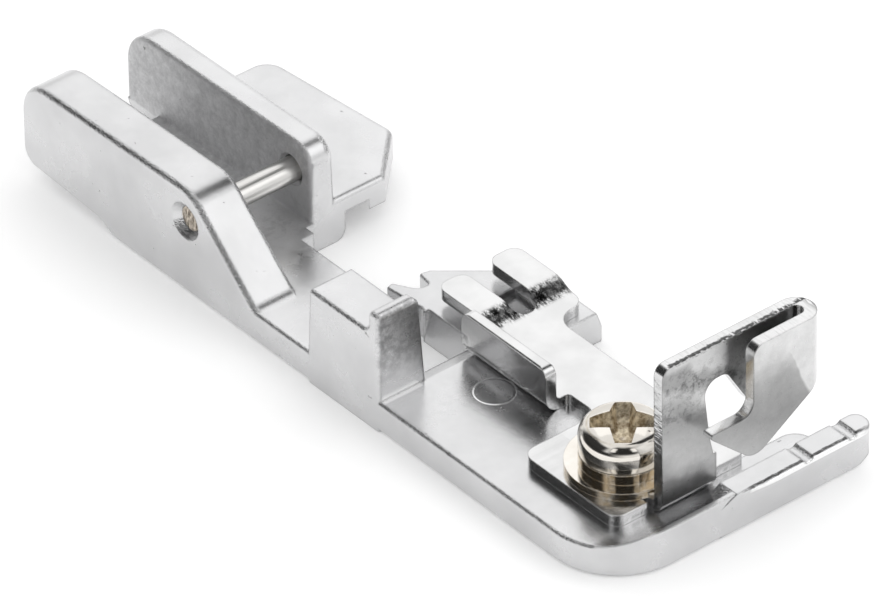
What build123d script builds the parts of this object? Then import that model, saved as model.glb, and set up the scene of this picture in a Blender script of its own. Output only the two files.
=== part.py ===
"""Clip-on presser foot of an overlock sewing machine, with a sliding tape guide.

A satin chromed casting carries everything. Its rear is a clevis whose cross pin clips into the
machine's ankle, its front is a flat deck with a raised toe bar, and the needles pass through the
opening between deck, left rail and stitch fingers. A folded sheet guide lies on the deck under
one screw, and slides to and fro on its slot when that screw is slack.

Millimetres. The toe points along -Y, the heel along +Y, the left rail lies at -X, and the sole
rests on Z = 0. The origin is the middle of the foot's outline on the sole.
"""

import math
import os

from build123d import *

# Overall widths, measured from the left face
foot_width = 20.8
rail_width = 6.9
deck_width = 12.9
stitch_side_width = 15.82

# Lengths from the toe to the heel, one after the other
toe_to_tab = 21.75
block_length = 6.9
notch_length = 5.05
ramp_to_pin = 6.67
pin_to_heel = 16.36

# Heights above the sole
deck_height = 2.25
ridge_height = 2.93
lip_height = 2.9
tab_over_block = 1.6
tab_height = 8.75
ear_height = 7.9
pin_height = 5.45

# Clevis at the rear
near_ear_thickness = 3.38
clevis_gap = 4.95
far_ear_thickness = 1.7
far_ear_draft = 0.45
far_ear_front = 1.9
far_ear_outer_radius = 0.6
far_ear_inner_radius = 0.3
floor_step = 0.8
floor_step_width = 1.0
far_block_width = 2.7
far_block_radius = 0.8
ear_top_fall = 0.38
ear_crest = 0.55
ear_edge_radius = 0.42
heel_rise = 0.65
heel_end_rise = 0.45
heel_step_run = 1.1
heel_step_behind_pin = 7.6
heel_step_radius = 1.2
heel_top_radius = 2.6
heel_bottom_radius = 1.3
far_front_radius = 1.5
ramp_top_radius = 2.6
ramp_foot_radius = 1.2
floor_end = 3.2

# Cross pin, sunk in countersunk holes
pin_radius = 0.82
pin_fit = 0.01
pin_recess = 0.45
countersink_radius = 1.3
countersink_depth = 0.5
inner_countersink_radius = 1.12
inner_countersink_depth = 0.3

# Side wing and its turned-down lip
wing_top = 3.2
wing_thickness = 1.2
wing_reach = 9.4
wing_taper = 1.05
wing_length = 14.55
wing_chamfer = 3.5
wing_front_radius = 0.3
wing_corner_radius = 0.9
wing_rear_radius = 1.5
wing_edge_radius = 0.45
wing_root = 0.5
wing_lip_drop = 0.75
wing_lip_thickness = 0.95

# Block and tab
tab_thickness = 0.92
tab_root_width = 3.6
tab_top_width = 3.14
tab_fillet_radius = 0.55
tab_top_radius = 0.42
tab_corner_radius = 0.5
block_lean = 0.3
block_edge_radius = 0.3
rail_edge_radius = 0.25
rail_end_radius = 0.5

# Needle opening and stitch fingers
opening_width = 4.74
opening_draft = 0.46
opening_length = 5.85
opening_bevel_run = 0.95
opening_bevel_drop = 0.3
stitch_front_inset = 1.65
stitch_side_rear = 3.6
stitch_flare = 0.4
stitch_corner_radius = 0.6
stitch_rear_radius = 1.2
finger_root = 5.65
finger_root_inset = 0.2
finger_root_radius = 0.5
long_finger_reach = 8.95
long_finger_width = 0.55
short_finger_reach = 8.6
short_finger_x = 1.85
short_finger_width = 0.75
finger_fall = 0.15
finger_tip_radius = 0.18
finger_gap_root = 7.37
finger_gap_left = 0.91
finger_gap_right = 1.68
finger_gap_left_radius = 0.85
finger_gap_right_radius = 0.25
finger_thickness = 1.1
finger_step = 0.3
stitch_edge_radius = 0.15
pocket_depth = 0.5
pocket_front = 0.95
pocket_length = 2.7
pocket_left = 1.3
pocket_width = 4.2

# Toe bar
toe_lean = 0.32
toe_corner_radius = 5.0
toe_tip_radius = 0.95
toe_tip_rear_radius = 0.67
toe_tip_rise = 2.0
sole_edge_radius = 0.4
lip_lean = 0.35
lip_start = 0.85
cove_run = 2.2
ridge_width = 1.8
ridge_start = 8.85
ridge_run_in = 4.0
ridge_run_radius = 6.0
ridge_rise_run = 1.2
ridge_edge_radius = 0.28
shelf_width = 1.7
shelf_reach = 17.6
shelf_radius = 1.3
groove_width = 0.85
groove_depth = 0.2
groove_places = (15.55, 19.05)

# Clamp screw, spring washer and flat washer
screw_from_left = 6.66
screw_from_toe = 6.77
thread_radius = 1.5
thread_clearance = 0.05
shank_short_of_sole = 0.25
thread_chamfer = 0.3
head_radius = 2.74
head_side_height = 1.95
head_height = 2.1
head_shoulder_radius = 0.42
recess_reach = 1.92
recess_tip_width = 0.95
recess_corner = 0.8
recess_depth = 1.45
recess_taper = 4
recess_cone_radius = 0.55
recess_turn = 50
dimple_radius = 0.3
dimple_depth = 0.12
dimple_reach = 1.98
dimple_turn = -72
flat_washer_radius = 3.6
flat_washer_thickness = 0.5
spring_washer_radius = 2.74
spring_washer_thickness = 0.7
spring_washer_gap = 0.35
spring_washer_slant = 25
spring_washer_turn = -35
washer_clearance = 0.1

# Sheet guide, placed from the screw
sheet = 0.8
bend_radius = 0.3
base_left = 3.9
base_front = 3.8
base_rear = 4.85
base_corner_radius = 0.95
guide_right = 6.28
neck_left = 2.05
neck_radius = 0.8
neck_front_radius = 0.3
base_right_radius = 0.4
slot_travel = 1.4
slot_clearance = 0.12
flange_left = 0.27
flange_front = 7.5
flange_rear = 15.5
flange_height = 3.3
flange_corner_radius = 0.7
flange_edge_radius = 0.15
plate_rear = 16.2
joggle_start = 15.3
joggle_run = 1.1
joggle_rise = 0.6
joggle_radius = 2.0
finger_end = 20.5
finger_corner_radius = 0.8
left_finger_short = 0.05
left_finger_root_radius = 0.2
left_finger_left = 2.35
inner_slot_left = 4.55
inner_slot_right = 6.4
inner_slot_front = 15.2
right_finger_right = 8.73
side_notch_rear = 13.9
side_notch_radius = 1.4
side_ear_radius = 0.95

# Upright hook of the guide, also placed from the screw
hook_front = 4.7
hook_top = 10.87
hook_corner = 0.75
stem_left = -0.9
stem_foot = 3.3
stem_waist = 2.75
stem_waist_drop = 4.15
stem_waist_radius = 1.5
relief_width = 0.45
relief_depth = 0.3
window_left = 2.28
window_peak = 4.1
window_top = 8.36
window_left_radius = 1.0
window_peak_radius = 0.7
window_foot_radius = 0.8
window_foot = 6.2
window_foot_height = 4.85
fold_x = 9.1
fold_gap = 0.95
fold_low = 6.43
fold_drop = 1.05
fold_slope = 0.63
leaf_left = 4.76
leaf_shoulder = 5.92
leaf_shoulder_radius = 1.0
leaf_tip = 1.45
leaf_tip_drop = 0.3
leaf_tip_radius = 0.12
leaf_heel_radius = 0.12
leaf_low_x = 4.75
leaf_low = 2.58
leaf_low_radius = 1.3

# Places that follow from the sizes above
foot_length = toe_to_tab + block_length + notch_length + ramp_to_pin + pin_to_heel
left_x = -foot_width / 2
right_x = foot_width / 2
toe_y = -foot_length / 2
heel_y = foot_length / 2
tab_y = toe_y + toe_to_tab
block_height = tab_height - tab_over_block
block_rear_y = tab_y + block_length
ramp_y = block_rear_y + notch_length
pin_y = ramp_y + ramp_to_pin
ear_inner_x = left_x + near_ear_thickness
far_inner_x = ear_inner_x + clevis_gap
far_outer_x = far_inner_x + far_ear_thickness
far_front_y = pin_y - far_ear_front
far_block_x = far_inner_x + far_block_width
rail_x = left_x + rail_width
deck_right_x = left_x + deck_width
opening_left_x = left_x + tab_root_width
opening_right_x = opening_left_x + opening_width
rail_end_y = tab_y + opening_length
opening_front_y = tab_y + opening_bevel_run
stitch_right_x = left_x + stitch_side_width
stitch_front_y = tab_y - stitch_front_inset
ridge_y = toe_y + ridge_width
ridge_x = left_x + ridge_start
shelf_y = ridge_y + shelf_width
screw_x = left_x + screw_from_left
screw_y = toe_y + screw_from_toe
sheet_top = deck_height + sheet
flat_washer_top = sheet_top + flat_washer_thickness
head_bottom = flat_washer_top + spring_washer_thickness
hook_y = screw_y - hook_front
bend_outer = bend_radius + sheet
above = 2 * tab_height
margin = 1.0
sliver = 0.01


def outline(points, radii):
    """Closed face from corner points, each rounded by its own radius."""
    return make_face(FilletPolyline(*points, radius=radii, close=True).edges())


def plan_solid(points, radii, low, high):
    """Prism with an outline in plan, between two heights."""
    return extrude(Pos(0, 0, low) * outline(points, radii), amount=high - low)


def side_solid(points, radii, start_x, width):
    """Prism with an outline of (y, z) points, across a stretch of x."""
    plane = Plane(origin=(start_x, 0, 0), x_dir=(0, 1, 0), z_dir=(1, 0, 0))
    return extrude(plane * outline(points, radii), amount=width)


def front_solid(points, radii, start_y, depth):
    """Prism with an outline of (x, z) points, from a front face towards the heel."""
    plane = Plane(origin=(0, start_y, 0), x_dir=(1, 0, 0), z_dir=(0, -1, 0))
    return extrude(plane * outline(points, radii), amount=-depth)


def space(low, high):
    """Plain box between two corners, for cutting."""
    size = [b - a for a, b in zip(low, high)]
    middle = [(a + b) / 2 for a, b in zip(low, high)]
    return Pos(*middle) * Box(*size)


def round_bar(radius, start, length, direction):
    """Round bar from a start point along X or Y."""
    turn = Rot(0, 90, 0) if direction == "X" else Rot(-90, 0, 0)
    return Pos(*start) * turn * Cylinder(radius, length, align=(Align.CENTER, Align.CENTER, Align.MIN))


def rims(solid, place, low_z):
    """Edges in the upright plane x = place, above a height."""
    upper = [e for e in solid.edges() if e.center().Z > low_z]
    return [e for e in upper if abs(e.center().X - place) < sliver]


def ear_side(front_points, front_radii):
    """Side outline shared by both ears: sole, raised heel, rounded heel face and sloping top."""
    step_y = pin_y + heel_step_behind_pin
    rear = [
        (step_y, 0),
        (step_y + heel_step_run, heel_rise),
        (heel_y, heel_rise + heel_end_rise),
        (heel_y, ear_height - ear_top_fall),
    ]
    rear_radii = [heel_step_radius, heel_step_radius, heel_bottom_radius, heel_top_radius]
    return rear + front_points, rear_radii + front_radii


def near_ear():
    front = [
        (pin_y - ear_crest, ear_height),
        (ramp_y, deck_height),
        (block_rear_y, deck_height),
        (block_rear_y, 0),
    ]
    points, radii = ear_side(front, [ramp_top_radius, ramp_foot_radius, 0, 0])
    ear = side_solid(points, radii, left_x, near_ear_thickness)
    edges = rims(ear, left_x, deck_height + sliver) + rims(ear, ear_inner_x, deck_height + sliver)
    return fillet(edges, ear_edge_radius)


def far_ear():
    """Thin blade whose outer face leans in, with a thicker block under the wing."""
    front = [(far_front_y, ear_height), (far_front_y, 0)]
    points, radii = ear_side(front, [far_front_radius, 0])
    side = side_solid(points, radii, far_inner_x, above)
    section = [
        (far_inner_x, 0),
        (far_outer_x + far_ear_draft, 0),
        (far_outer_x, above),
        (far_inner_x, above),
    ]
    blade = side & front_solid(section, [0] * 4, far_front_y - margin, foot_length)
    blade = fillet(rims(blade, far_inner_x, wing_top), far_ear_inner_radius)
    outer = [e for e in blade.edges() if e.center().X > far_outer_x and e.center().Z > ear_height / 2]
    blade = fillet(outer, far_ear_outer_radius)
    foot = [
        (far_inner_x, 0),
        (far_block_x, 0),
        (far_block_x, wing_top - wing_thickness),
        (far_inner_x, wing_top - wing_thickness),
    ]
    block = side & front_solid(foot, [0, far_block_radius, 0, 0], far_front_y - margin, foot_length)
    return blade + block


def clevis_floor():
    """Floor between the ears, with a small step out in front of the far ear."""
    front_y = far_front_y - floor_step
    points, radii = ear_side([(front_y, deck_height), (front_y, 0)], [0, 0])
    side = side_solid(points, radii, ear_inner_x - margin, far_inner_x - ear_inner_x + 2 * margin)
    kept = space((left_x, far_front_y, 0), (far_inner_x + margin, heel_y - floor_end, deck_height))
    kept += space((left_x, front_y, 0), (rail_x + floor_step_width, far_front_y + margin, deck_height))
    return side & kept


def wing():
    wing_x = far_inner_x + wing_reach
    rear_y = far_front_y + wing_length
    root_x = far_outer_x - wing_root
    bottom = wing_top - wing_thickness
    points = [
        (root_x, far_front_y),
        (wing_x - wing_chamfer, far_front_y),
        (wing_x, far_front_y + wing_chamfer),
        (wing_x - wing_taper, rear_y),
        (root_x, rear_y),
    ]
    radii = [0, wing_front_radius, wing_corner_radius, wing_rear_radius, 0]
    plate = plan_solid(points, radii, bottom, wing_top)
    top = [e for e in plate.edges() if e.center().Z > wing_top - sliver]
    plate = fillet([e for e in top if e.center().X > root_x + sliver], wing_edge_radius)
    drop = plan_solid(points, radii, bottom - wing_lip_drop, bottom + sliver)
    slant = wing_lip_thickness * math.sqrt(2)
    inner = [
        (root_x - margin, far_front_y - margin),
        (wing_x - wing_chamfer - slant - margin, far_front_y - margin),
        (wing_x - wing_lip_thickness, far_front_y + wing_chamfer + slant - wing_lip_thickness),
        (wing_x - wing_taper - wing_lip_thickness, rear_y + margin),
        (root_x - margin, rear_y + margin),
    ]
    hollow = plan_solid(inner, [0, 0, wing_corner_radius, 0, 0], 0, wing_top)
    return plate + (drop - hollow)


def block_and_tab():
    points = [
        (tab_y, 0),
        (block_rear_y, 0),
        (block_rear_y, deck_height),
        (block_rear_y - block_lean, block_height),
        (tab_y + tab_thickness, block_height),
        (tab_y + tab_thickness, tab_height),
        (tab_y, tab_height),
    ]
    radii = [0, 0, 0, block_edge_radius, tab_fillet_radius, tab_top_radius, tab_top_radius]
    side = side_solid(points, radii, left_x, foot_width)
    fall = (tab_root_width - tab_top_width) / (tab_height - deck_height)
    section = [
        (left_x, 0),
        (opening_left_x, 0),
        (opening_left_x, deck_height),
        (opening_left_x - fall * (tab_height - deck_height), tab_height),
        (left_x, tab_height),
    ]
    corners = [0, 0, 0, tab_corner_radius, 0]
    solid = side & front_solid(section, corners, tab_y - margin, block_length + 2 * margin)
    return fillet(rims(solid, left_x, deck_height + block_edge_radius), block_edge_radius)


def soften_left(solid):
    """Rounds the left edges of a plate, at the top and along the sole."""
    side = [e for e in solid.edges() if abs(e.center().X - left_x) < sliver]
    top = [e for e in side if abs(e.center().Z - deck_height) < sliver]
    solid = fillet(top, rail_edge_radius)
    side = [e for e in solid.edges() if abs(e.center().X - left_x) < sliver]
    return fillet([e for e in side if abs(e.center().Z) < sliver], sole_edge_radius)


def deck_and_rail():
    back_y = toe_y + toe_lean + toe_corner_radius + margin
    rail = [
        (left_x, back_y),
        (ridge_x, back_y),
        (ridge_x, shelf_y),
        (deck_right_x, shelf_y),
        (deck_right_x, opening_front_y),
        (opening_left_x, opening_front_y),
        (opening_left_x, rail_end_y),
        (rail_x, rail_end_y),
        (rail_x, far_front_y + margin),
        (left_x, far_front_y + margin),
    ]
    plate = plan_solid(rail, [0, 0, 0, 0, 0, 0, rail_end_radius, 0, 0, 0], 0, deck_height)
    plate = soften_left(plate)
    low_z = deck_height - opening_bevel_drop
    bevel = [
        (tab_y, deck_height),
        (opening_front_y, low_z),
        (opening_front_y + margin, low_z),
        (opening_front_y + margin, deck_height + margin),
        (tab_y, deck_height + margin),
    ]
    return plate - side_solid(bevel, [0] * 5, opening_left_x, opening_width)


def stitch_side():
    """Right of the needle opening: the part that carries the two stitch fingers."""
    left = opening_right_x - opening_draft
    right = stitch_right_x + 2 * stitch_flare
    short_x = opening_right_x + short_finger_x
    short_y = tab_y + short_finger_reach
    long_y = tab_y + long_finger_reach
    points = [
        (left, stitch_front_y),
        (right, stitch_front_y),
        (right, tab_y + stitch_side_rear),
        (short_x + short_finger_width, short_y - finger_fall),
        (short_x, short_y),
        (opening_right_x + finger_gap_right, tab_y + finger_gap_root),
        (opening_right_x + finger_gap_left, tab_y + finger_gap_root),
        (opening_right_x, long_y),
        (opening_right_x - long_finger_width, long_y - finger_fall),
        (opening_right_x - finger_root_inset, tab_y + finger_root),
        (left, tab_y + finger_root - finger_step),
    ]
    tip = finger_tip_radius
    radii = [0, stitch_corner_radius, stitch_rear_radius, tip, tip]
    radii += [finger_gap_right_radius, finger_gap_left_radius, tip, tip, finger_root_radius, 0]
    solid = plan_solid(points, radii, 0, deck_height)
    top = [e for e in solid.edges() if abs(e.center().Z - deck_height) < sliver]
    solid = fillet([e for e in top if e.center().Y > stitch_front_y + sliver], stitch_edge_radius)
    section = [
        (left - margin, -margin),
        (stitch_right_x + stitch_flare, -margin),
        (stitch_right_x + stitch_flare, deck_height / 2),
        (stitch_right_x, deck_height),
        (stitch_right_x, deck_height + margin),
        (left - margin, deck_height + margin),
    ]
    solid &= front_solid(section, [0] * 6, stitch_front_y - margin, above)
    root_y = tab_y + finger_gap_root - finger_step
    solid -= space((left - margin, root_y, -margin), (right, heel_y, deck_height - finger_thickness))
    pocket_y = tab_y + pocket_front
    pocket_x = opening_right_x + pocket_left
    solid -= space(
        (pocket_x, pocket_y, deck_height - pocket_depth),
        (pocket_x + pocket_width, pocket_y + pocket_length, deck_height + margin),
    )
    return solid


def needle_opening():
    section = [
        (opening_left_x, -margin),
        (opening_right_x - opening_draft, -margin),
        (opening_right_x - opening_draft, 0),
        (opening_right_x, deck_height),
        (opening_right_x, deck_height + margin),
        (opening_left_x, deck_height + margin),
    ]
    length = finger_root - finger_step - opening_bevel_run
    return front_solid(section, [0] * 6, opening_front_y, length)


def toe():
    """Toe bar: plan with a big left corner and a small right tip, a cove behind a low lip on the
    left, and a flat-topped ridge with two cross grooves on the right."""
    base_y = toe_y + toe_lean
    back_y = base_y + toe_corner_radius + margin
    inner_x = ridge_x + ridge_rise_run
    plan = [(left_x, back_y), (left_x, base_y), (inner_x, base_y), (inner_x, back_y)]
    plan_radii = [0, toe_corner_radius, 0, 0]
    low_bar = soften_left(plan_solid(plan, plan_radii, 0, deck_height))

    shelf_front = base_y + sole_edge_radius
    shelf = [
        (ridge_x, shelf_front),
        (left_x + shelf_reach, shelf_front),
        (left_x + shelf_reach, shelf_y),
        (ridge_x, shelf_y),
    ]
    low_bar += plan_solid(shelf, [0, 0, shelf_radius, 0], 0, deck_height)

    rise = lip_height - deck_height
    lip = plan_solid(plan, plan_radii, deck_height - rise, lip_height)
    lip &= space((left_x + lip_start, toe_y, 0), (inner_x, back_y, above))
    cove_radius = (cove_run**2 + rise**2) / (2 * rise)
    cove_y = base_y + lip_lean + cove_run
    lip -= round_bar(cove_radius, (left_x, cove_y, deck_height + cove_radius), foot_width, "X")
    lip -= space((left_x, cove_y, 0), (right_x, back_y + margin, above))

    ridge_plan = [
        (ridge_x, base_y),
        (ridge_x + ridge_run_in, toe_y),
        (right_x, toe_y),
        (right_x, ridge_y),
        (ridge_x, ridge_y),
    ]
    ridge_radii = [0, ridge_run_radius, toe_tip_radius, toe_tip_rear_radius, 0]
    ridge = plan_solid(ridge_plan, ridge_radii, 0, ridge_height)
    profile = [
        (base_y, 0),
        (ridge_y, 0),
        (ridge_y, ridge_height),
        (toe_y, ridge_height),
        (toe_y, ridge_height - 2 * ridge_edge_radius),
    ]
    ridge &= side_solid(profile, [sole_edge_radius, 0, 0, ridge_edge_radius, 0], ridge_x, foot_width)
    for place in groove_places:
        radius = (groove_width**2 / 4 + groove_depth**2) / (2 * groove_depth)
        start = (left_x + place, toe_y - margin, ridge_height - groove_depth + radius)
        ridge -= round_bar(radius, start, ridge_width + 2 * margin, "Y")

    spread = ridge_rise_run * (ridge_height + margin - deck_height) / (ridge_height - deck_height)
    ends = [
        (ridge_x, 0),
        (right_x, 0),
        (right_x, ridge_height + margin),
        (ridge_x + spread, ridge_height + margin),
        (ridge_x, deck_height),
    ]
    ridge &= front_solid(ends, [0, toe_tip_rise, 0, 0, 0], toe_y - margin, foot_length)
    return low_bar + lip + ridge


def countersink(mouth_radius, depth):
    """Cone that opens upwards from the pin's size, and goes on past the mouth."""
    slope = (mouth_radius - pin_radius) / depth
    return Cone(
        pin_radius,
        mouth_radius + slope * margin,
        depth + margin,
        align=(Align.CENTER, Align.CENTER, Align.MIN),
    )


def pin_holes():
    """Both pin holes in one bar, with a countersink outside the near ear and inside the far one."""
    bar = round_bar(pin_radius + pin_fit, (left_x - margin, pin_y, pin_height), above, "X")
    outside = countersink(countersink_radius, countersink_depth)
    near = Pos(left_x + countersink_depth, pin_y, pin_height) * Rot(0, -90, 0) * outside
    inside = countersink(inner_countersink_radius, inner_countersink_depth)
    far = Pos(far_inner_x + inner_countersink_depth, pin_y, pin_height) * Rot(0, -90, 0) * inside
    return bar + near + far


def foot_body():
    body = deck_and_rail() + clevis_floor() + near_ear() + far_ear() + wing()
    body += stitch_side()
    body -= needle_opening()
    body += block_and_tab()
    body += toe()
    hole = Cylinder(thread_radius + thread_clearance, 3 * deck_height)
    body -= Pos(screw_x, screw_y, 0) * hole
    body -= pin_holes()
    return body


def pivot_pin():
    length = far_outer_x - left_x - 2 * pin_recess
    return round_bar(pin_radius, (left_x + pin_recess, pin_y, pin_height), length, "X")


def flat_washer():
    ring = Cylinder(flat_washer_radius, flat_washer_thickness)
    ring -= Cylinder(thread_radius + washer_clearance, 2 * flat_washer_thickness)
    return Pos(screw_x, screw_y, sheet_top + flat_washer_thickness / 2) * ring


def spring_washer():
    ring = Cylinder(spring_washer_radius, spring_washer_thickness)
    ring -= Cylinder(thread_radius + washer_clearance, 2 * spring_washer_thickness)
    split = Pos(spring_washer_radius, 0, 0) * Rot(spring_washer_slant, 0, 0)
    ring -= split * Box(2 * spring_washer_radius, spring_washer_gap, 3 * spring_washer_thickness)
    middle = flat_washer_top + spring_washer_thickness / 2
    return Pos(screw_x, screw_y, middle) * Rot(0, 0, spring_washer_turn) * ring


def screw_crown():
    """Radius of the sphere that the top of the head follows."""
    crown = head_height - head_side_height
    return (head_radius**2 + crown**2) / (2 * crown)


def screw_recess():
    """Cross recess: four arms that widen towards the middle, cut to a cone."""
    points = []
    corners = [(recess_reach, -recess_tip_width / 2), (recess_reach, recess_tip_width / 2)]
    corners.append((recess_corner, recess_corner))
    for quarter in range(4):
        points += [Vector(*corner).rotate(Axis.Z, 90 * quarter) for corner in corners]
    star = make_face(Polyline(*points, close=True).edges())
    arms = extrude(Pos(0, 0, head_height) * star, amount=-recess_depth, taper=recess_taper)
    mouth = math.hypot(recess_reach, recess_tip_width / 2)
    cone = Cone(recess_cone_radius, mouth, recess_depth, align=(Align.CENTER, Align.CENTER, Align.MAX))
    return arms & (Pos(0, 0, head_height) * cone)


def clamp_screw():
    """Pan-head screw: straight shank, upright head side, rounded shoulder, shallow crown, a wide
    cross recess and the small round dimple beside it."""
    foot = shank_short_of_sole - head_bottom
    crown_radius = screw_crown()
    half = math.asin(head_radius / crown_radius) / 2
    crown = ThreePointArc(
        (head_radius, head_side_height),
        (crown_radius * math.sin(half), head_height - crown_radius * (1 - math.cos(half))),
        (0, head_height),
    )
    flank = Polyline(
        (0, head_height),
        (0, foot),
        (thread_radius - thread_chamfer, foot),
        (thread_radius, foot + thread_chamfer),
        (thread_radius, 0),
        (head_radius, 0),
        (head_radius, head_side_height),
    )
    face = make_face((crown + flank).edges())
    shoulder = face.vertices().sort_by(Axis.X)[-2:].sort_by(Axis.Y)[-1]
    body = revolve(Plane.XZ * fillet(shoulder, head_shoulder_radius), Axis.Z)
    body -= Rot(0, 0, recess_turn) * screw_recess()
    ball_radius = (dimple_radius**2 + dimple_depth**2) / (2 * dimple_depth)
    surface = head_height - crown_radius + math.sqrt(crown_radius**2 - dimple_reach**2)
    ball = Pos(dimple_reach, 0, surface - dimple_depth + ball_radius) * Sphere(ball_radius)
    body -= Rot(0, 0, dimple_turn) * ball
    return Pos(screw_x, screw_y, head_bottom) * body


def guide_base():
    """Flat part of the guide: base under the screw, neck, and the fingers with their joggle."""
    left = screw_x - base_left
    right = screw_x + guide_right
    front = screw_y - base_front
    notch_y = screw_y + side_notch_rear
    finger_y = screw_y + finger_end
    flange_flat_x = screw_x + flange_left + bend_outer
    points = [
        (left, front),
        (right, front),
        (right, notch_y),
        (screw_x + right_finger_right, notch_y),
        (screw_x + right_finger_right, finger_y),
        (screw_x + inner_slot_right, finger_y),
        (screw_x + inner_slot_right, screw_y + inner_slot_front),
        (screw_x + inner_slot_left, screw_y + inner_slot_front),
        (screw_x + inner_slot_left, finger_y - left_finger_short),
        (screw_x + left_finger_left, finger_y - left_finger_short),
        (screw_x + left_finger_left, screw_y + plate_rear),
        (flange_flat_x, screw_y + plate_rear),
        (flange_flat_x, screw_y + flange_front),
        (screw_x + neck_left, screw_y + flange_front),
        (screw_x + neck_left, screw_y + base_rear),
        (left, screw_y + base_rear),
    ]
    slot_round = (inner_slot_right - inner_slot_left) / 2 - sliver
    tip = finger_corner_radius
    radii = [base_corner_radius, base_right_radius, side_notch_radius, side_ear_radius]
    radii += [tip, tip, slot_round, slot_round, tip, tip, left_finger_root_radius]
    radii += [0, 0, neck_front_radius, neck_radius, base_corner_radius]
    plan = plan_solid(points, radii, 0, above)
    low, high = deck_height, sheet_top
    rise_start = screw_y + joggle_start
    rise_end = rise_start + joggle_run
    end = finger_y + margin
    profile = [
        (front - margin, low),
        (rise_start, low),
        (rise_end, low + joggle_rise),
        (end, low + joggle_rise),
        (end, high + joggle_rise),
        (rise_end, high + joggle_rise),
        (rise_start, high),
        (front - margin, high),
    ]
    bends = [0, joggle_radius, joggle_radius, 0, 0, joggle_radius, joggle_radius, 0]
    solid = plan & side_solid(profile, bends, left - margin, foot_width)
    width = 2 * (thread_radius + slot_clearance)
    slot = SlotOverall(width + 2 * slot_travel, width)
    solid -= Pos(screw_x, screw_y, 0) * extrude(slot, amount=above)
    return solid


def flange():
    """Edge of the guide turned up beside the neck."""
    outer_x = screw_x + flange_left
    join_x = outer_x + bend_outer + sliver
    top = deck_height + flange_height
    length = flange_rear - flange_front
    start_y = screw_y + flange_front
    section = [
        (join_x, deck_height),
        (join_x, sheet_top),
        (outer_x + sheet, sheet_top),
        (outer_x + sheet, top),
        (outer_x, top),
        (outer_x, deck_height),
    ]
    edge = flange_edge_radius
    solid = front_solid(section, [0, 0, bend_radius, edge, edge, bend_outer - sliver], start_y, length)
    side = [
        (start_y, 0),
        (start_y + length, 0),
        (start_y + length, top),
        (start_y, top),
    ]
    return solid & side_solid(side, [0, 0, flange_corner_radius, flange_corner_radius], left_x, foot_width)


def stem_bend():
    """Foot of the hook, bent up out of the base's front edge."""
    flat_y = hook_y + bend_outer + margin
    high_z = sheet_top + 2 * margin
    section = [
        (flat_y, deck_height),
        (flat_y, sheet_top),
        (hook_y + sheet, sheet_top),
        (hook_y + sheet, high_z),
        (hook_y, high_z),
        (hook_y, deck_height),
    ]
    width = stem_foot - stem_left
    return side_solid(section, [0, 0, bend_radius, 0, 0, bend_outer], screw_x + stem_left, width)


def relief_notches():
    """Small notches beside the stem, which let the sheet bend without tearing."""
    front = hook_y - margin
    rear = hook_y + bend_outer + relief_depth
    left = screw_x + stem_left
    right = screw_x + stem_foot
    first = space((left - relief_width, front, 0), (left, rear, above))
    second = space((right, front, 0), (right + relief_width, rear, above))
    return first + second


def hook():
    """Two leaves of the hook, joined by a tight fold about an upright axis."""
    top = deck_height + hook_top
    window_z = deck_height + window_top
    fold = screw_x + fold_x
    fold_outer = fold_gap / 2 + sheet
    back = [
        (screw_x + stem_left, sheet_top + margin),
        (screw_x + stem_foot, sheet_top + margin),
        (screw_x + stem_waist, window_z - stem_waist_drop),
        (screw_x + window_left, window_z),
        (screw_x + window_peak, window_z),
        (screw_x + window_foot, deck_height + window_foot_height),
        (fold, deck_height + fold_low),
        (fold, top),
        (screw_x + stem_left, top),
    ]
    back_radii = [0, 0, stem_waist_radius, window_left_radius, window_peak_radius, window_foot_radius]
    back_leaf = front_solid(back, back_radii + [0, 0, hook_corner], hook_y, sheet)

    shoulder_z = deck_height + leaf_shoulder
    fold_z = deck_height + fold_low - fold_drop
    front = [
        (fold, top),
        (screw_x + leaf_left, top),
        (screw_x + leaf_left, shoulder_z),
        (screw_x + leaf_tip, shoulder_z),
        (screw_x + leaf_tip, shoulder_z - leaf_tip_drop),
        (screw_x + leaf_low_x, deck_height + leaf_low),
        (fold, fold_z),
    ]
    front_y = hook_y - fold_gap - sheet
    front_radii = [0, hook_corner, leaf_shoulder_radius, leaf_tip_radius, leaf_heel_radius]
    front_radii += [leaf_low_radius, 0]
    front_leaf = front_solid(front, front_radii, front_y, sheet)

    ring = Cylinder(fold_outer, above) - Cylinder(fold_gap / 2, above)
    ring &= Pos(above / 2, 0, 0) * Box(above, above, above)
    ring = Pos(fold, hook_y - fold_gap / 2, above / 2) * ring
    end_x = fold + fold_outer + margin
    slope = [
        (fold, fold_z),
        (end_x, fold_z + fold_slope * (end_x - fold)),
        (end_x, top),
        (fold, top),
    ]
    ring &= front_solid(slope, [0] * 4, front_y - margin, above)
    return back_leaf + front_leaf + ring


def guide_plate():
    return guide_base() - relief_notches() + flange() + stem_bend() + hook()


os.makedirs("parts", exist_ok=True)
export_step(foot_body(), "parts/foot_body.step")
export_step(pivot_pin(), "parts/pivot_pin.step")
export_step(guide_plate(), "parts/guide_plate.step")
export_step(flat_washer(), "parts/flat_washer.step")
export_step(spring_washer(), "parts/spring_washer.step")
export_step(clamp_screw(), "parts/clamp_screw.step")
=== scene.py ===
# %% [markdown]
# A clip-on presser foot in Blender
# The foot is a satin chromed casting with a bright stamped guide on it, held by one nickel plated
# screw. The CAD model brings every piece at its real size. This lesson gives each piece its finish,
# adds the fine marks that casting, stamping and thread cutting leave behind, and sets up the light
# in which plated metal reads as metal: white around it, with dark flags for it to reflect.

# %% Loading the frame
import math

import bpy
from mathutils import Matrix, Vector


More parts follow.
